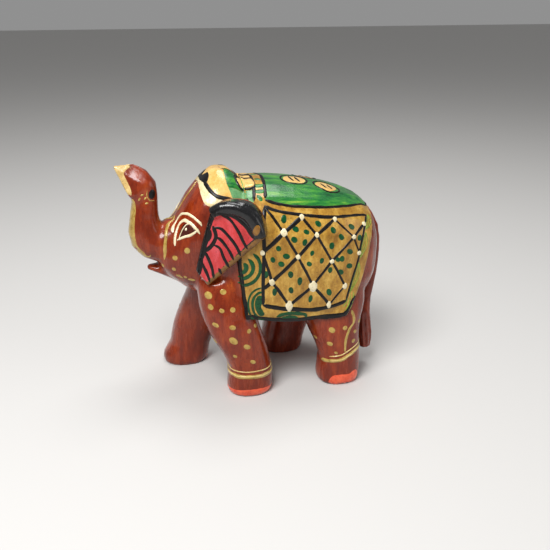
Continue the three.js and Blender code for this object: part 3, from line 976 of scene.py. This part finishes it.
TRUNK_PATH = [
    (0, (-31.3, 0, 64)), (7.3, (-38.3, 0, 62)), (13.3, (-43.3, 0, 65.4)), (19.5, (-44.2, 0, 71.5)),
    (25, (-43.7, 0, 77)), (30, (-43.5, 0, 82)), (34, (-43.9, 0, 86))]
TRUNK_BAND = [(10.4, 34), (14, 42), (20, 44), (26, 43), (29, 38)]
BAND_EDGE = [(29.5, 36), (26, 43), (20, 44), (14, 42), (10.6, 38), (9.6, 46), (9.9, 54)]
TRUNK_RIM = [
    (-54, 93.6), (-52.4, 89.8), (-51, 86.6), (-49.8, 83.8), (-48.6, 83.2), (-48.6, 85.4),
    (-49.9, 88.8), (-50.6, 91.4), (-48.2, 93.6)]
TRUNK_LIP = [
    (-48.2, 94), (-51.5, 94.2), (-54.5, 94), (-53.4, 91.6), (-52, 88.8), (-50.8, 86),
    (-49.6, 83.4)]
TRUNK_KNOT = (-40.9, 83.2)
KNOT_CURL = [(-42.6, 84.9), (-42.9, 82.6), (-41.8, 80.8), (-40.2, 80.6)]
KNOT_FLECKS = ((-43.6, 81.8, 40), (-44.7, 83.2, 20), (-45.8, 81.6, 60), (-43.2, 79.9, 10))  # x, z and turn
MOUTH_RIM = [
    (0, 92.3), (1.3, 90), (2.6, 87.4), (3.4, 84.8), (2.6, 82.8), (0, 82.2), (-2.6, 82.8),
    (-3.4, 84.8), (-2.6, 87.4), (-1.3, 90)]
# Painted shade: a dark brown film inside the cream rim, darkening the mouth's hollow.
MOUTH_PAINTED_SHADE = [(0, 89), (1, 87.4), (1.8, 85.4), (1.3, 84), (0, 83.6), (-1.3, 84), (-1.8, 85.4), (-1, 87.4)]
NEAT = {"spacing": 0.4, "wobble": 0.05}  # for the small areas at the trunk's end


def paint_trunk_side(side, gold, cream, black):
    """The edge of the trunk's band, its cream end and the knot below it, on one side."""
    tube = trunk_chart(wood_tree, TRUNK_PATH, side)
    gold.stroke(tube, BAND_EDGE, 0.8, 0.16)
    chart = face[side]
    cream.film(chart, TRUNK_RIM, THIN_LIFT, **NEAT)
    cream.stroke(chart, TRUNK_LIP, 1.3, LOW_LIFT)
    black.bead(chart, *TRUNK_KNOT, 2.8, 0.16, 3.9, turn=80)
    gold.stroke(chart, KNOT_CURL, 0.4, FLAT_LIFT)
    for x, z, turned in KNOT_FLECKS:
        gold.bead(chart, x, z, 0.7, THIN_LIFT, 1.5, turn=turned)


def paint_trunk():
    """The gold band up the trunk, its cream end and painted shade in its mouth: a dark brown film in the
    hollow.
    """
    gold, cream, black, mouth_shade = Coat(81), Coat(82), Coat(83), Coat(84)
    gold.film(trunk_chart(wood_tree, TRUNK_PATH, LEFT), mirrored(TRUNK_BAND), AREA_LIFT)
    for side in SIDES:
        paint_trunk_side(side, gold, cream, black)
    mouth = front_chart(wood_tree)
    cream.film(mouth, MOUTH_RIM, PATCH_LIFT, **NEAT)
    # Painted shade in the mouth's hollow.
    mouth_shade.film(mouth, MOUTH_PAINTED_SHADE, LOW_LIFT, **NEAT)
    gold.make("trunk_gold", YELLOW, WOOD)
    cream.make("trunk_cream", TIP_CREAM, WOOD)
    black.make("trunk_knot", BLACK, WOOD)
    mouth_shade.make("trunk_mouth_painted_shade", EYE_BROWN_AND_MOUTH_SHADE, WOOD)


# ---- The legs: u is height, v is degrees from the front over the outer side ----

FRONT_DOTS = [(45.1, 42, 2.8), (46.7, 74, 2.0), (40.6, 45, 2.2), (39.4, 69, 1.8), (39.5, 93, 1.9),
              (33.4, 47, 2.2), (32.4, 83, 2.1), (29.9, 119, 1.7), (24.9, 20, 1.9), (26.8, 74, 3.0),
              (23.6, 99, 2.2), (16.4, 98, 2.0), (19.5, 58, 1.6), (31, 140, 1.6)]
HIND_DOTS = [(26.4, 73, 2.6), (26.7, 106, 1.8), (19.8, 59, 2.2), (15.5, 70, 1.4), (19.8, 126, 1.8),
             (23.8, 133, 1.6), (27.5, 150, 1.8), (21.5, 22, 1.7)]
HIND_STREAK = [(33.9, 120), (28.5, 129), (25.5, 116), (21.2, 104), (15.6, 96)]
LEG_PATHS = {
    ("front", LEFT): [(0, (-6.5, -15.6, 0)), (12, (-6.3, -15.8, 12)), (20, (-8.9, -15.8, 20)),
        (28, (-12.1, -15, 28)), (38, (-14.5, -13, 38)), (50, (-14.3, -10, 50))],
    ("front", RIGHT): [(0, (-28.9, 17, 0)), (3, (-28.3, 17, 3)), (9, (-26.7, 16.8, 9)), (18, (-24, 16.4, 18)),
        (27, (-19.8, 15.4, 27)), (37, (-15.8, 13, 37)), (50, (-13.3, 10, 50))],
    ("hind", LEFT): [(0, (32.3, -15.6, 0)), (12, (32.7, -15.6, 12)), (20, (31.1, -15.2, 20)),
        (27, (29.7, -14, 27)), (36, (29.7, -12, 36)), (49, (29.7, -9, 49))],
    ("hind", RIGHT): [(0, (15.7, 17.6, 0)), (3, (15.9, 17.6, 3)), (10, (17.5, 17.4, 10)),
        (19, (20.5, 16.6, 19)), (27, (23.7, 15, 27)), (36, (27.7, 12, 36)), (49, (29.7, 9, 49))],
}


def paint_legs():
    """The dots, anklets and toes of all four legs, with a painted highlight along each anklet's crest."""
    gold, toes, highlights_and_lines = Coat(91), Coat(92), Coat(93)
    for (leg, side), path in LEG_PATHS.items():
        chart = upright_chart(wood_tree, path, side, LEG_RADIUS)
        first = -30 if side == LEFT else 30
        for height, angle, size in FRONT_DOTS if leg == "front" else HIND_DOTS:
            shift = 0 if side == LEFT else gold.random.uniform(-1, 1)
            gold.bead(chart, height + shift, angle + 3 * shift, size, 0.14, size * 1.15,
                      turn=gold.random.uniform(0, 180))
        if leg == "front":
            around = range(first, 211, 20)
            gold.stroke(chart, [(9.4 + 0.5 * flutter(a * 0.05, 3), a) for a in around], 1.9, 0.22)
            # A brighter line along the anklet's crest is a painted highlight; the thin line above it is
            # paint.
            highlights_and_lines.stroke(chart, [(9.6 + 0.5 * flutter(a * 0.05, 3), a) for a in around[1:-1]], 0.8, 0.27)
            highlights_and_lines.stroke(chart, [(11.8 + 0.4 * flutter(a * 0.05, 5), a) for a in around], 0.5, 0.14)
            top = [(2.6 + 1.1 * abs(math.cos(math.radians(a - 90))) ** 2, a) for a in range(first, 211, 20)]
            toes.film(chart, top + [(0.35, 210), (0.35, first)], 0.1, rounded=False)
        else:
            ring = [(10.8, 20), (11.3, 50), (12.2, 85), (13.7, 107), (15.4, 138), (16, 165)]
            gold.stroke(chart, ring, 1.7, 0.22)
            # A brighter line along the anklet's crest is a painted highlight; the thin line above it is
            # paint.
            highlights_and_lines.stroke(chart, [(height + 0.1, angle) for height, angle in ring[1:]], 0.7, 0.27)
            highlights_and_lines.stroke(chart, [(height + 2.2, angle) for height, angle in ring[1:]], 0.5, 0.14)
            gold.stroke(chart, HIND_STREAK, 1.1, 0.12)
            top = [(4.2, 58), (5.2, 80), (5.0, 104), (5.9, 122), (5.2, 136)]
            toes.film(chart, top + [(0.35, 142), (0.35, 56)], 0.1)
    gold.make("leg_gold", YELLOW, WOOD)
    toes.make("toe_orange", ORANGE, WOOD)
    highlights_and_lines.make("anklet_highlights_and_lines", ANKLET_GOLD_AND_HIGHLIGHT, WOOD)


# ---- Stage, in metres ----

FLOOR_REACH = 3.0
FLOOR_COLOUR = (0.56, 0.55, 0.535, 1)
WORLD_STRENGTH = 0.28
LIGHT_TARGET = Vector((0, 0, 0.045))
LIGHTS = (
    ("key", (-0.22, -0.27, 0.5), 0.3, 4.1),
    ("fill", (0.5, -0.35, 0.2), 0.4, 0.6),
    ("top", (0.08, 0.14, 0.66), 0.3, 1.8))  # name, place, diameter and watts
CAMERA_AZIMUTH = math.radians(-14)
CAMERA_ELEVATION = math.radians(22)
CAMERA_DISTANCE = 0.3
CAMERA_TARGET = Vector((8.74, 0, 43.2)) * MM
CAMERA_LENS = 46.15


def build_floor():
    """A wide sheet of paper under the figure."""
    mesh = bpy.data.meshes.new("floor")
    reach = FLOOR_REACH
    corners = [(-reach, -reach, 0), (reach, -reach, 0), (reach, reach, 0), (-reach, reach, 0)]
    mesh.from_pydata(corners, [], [(0, 1, 2, 3)])
    floor = bpy.data.objects.new("floor", mesh)
    bpy.context.scene.collection.objects.link(floor)
    paper = bpy.data.materials.new("floor_paper")
    paper.use_nodes = True
    surface = paper.node_tree.nodes["Principled BSDF"]
    surface.inputs["Base Color"].default_value = FLOOR_COLOUR
    surface.inputs["Roughness"].default_value = 0.8
    mesh.materials.append(paper)


def build_lights():
    """A white surround and three round lights that look at the figure."""
    world = bpy.data.worlds.new("studio")
    world.use_nodes = True
    sky = world.node_tree.nodes["Background"]
    sky.inputs["Color"].default_value = grey(1.0)
    sky.inputs["Strength"].default_value = WORLD_STRENGTH
    bpy.context.scene.world = world
    for name, place, diameter, watts in LIGHTS:
        data = bpy.data.lights.new(name, "AREA")
        data.shape = "DISK"
        data.size = diameter
        data.energy = watts
        light = bpy.data.objects.new(name, data)
        light.location = place
        light.rotation_euler = (LIGHT_TARGET - Vector(place)).to_track_quat("-Z", "Y").to_euler()
        bpy.context.scene.collection.objects.link(light)
    bpy.context.scene.view_settings.view_transform = "Standard"


def build_camera():
    """Looks down a little on the left side, from somewhat before it."""
    away = Vector((math.sin(CAMERA_AZIMUTH) * math.cos(CAMERA_ELEVATION),
                   -math.cos(CAMERA_AZIMUTH) * math.cos(CAMERA_ELEVATION),
                   math.sin(CAMERA_ELEVATION)))
    data = bpy.data.cameras.new("camera")
    data.lens = CAMERA_LENS
    data.clip_start = 0.01
    camera = bpy.data.objects.new("camera", data)
    camera.location = CAMERA_TARGET + away * CAMERA_DISTANCE
    camera.rotation_euler = (-away).to_track_quat("-Z", "Y").to_euler()
    bpy.context.scene.collection.objects.link(camera)
    bpy.context.scene.camera = camera


for side in SIDES:
    paint_cloth(side, 100 + 20 * side)
    paint_ear(side, 200 + 20 * side)
paint_cloth_rim()
paint_ridge()
paint_cap()
paint_face()
paint_trunk()
paint_legs()
build_floor()
build_lights()
build_camera()
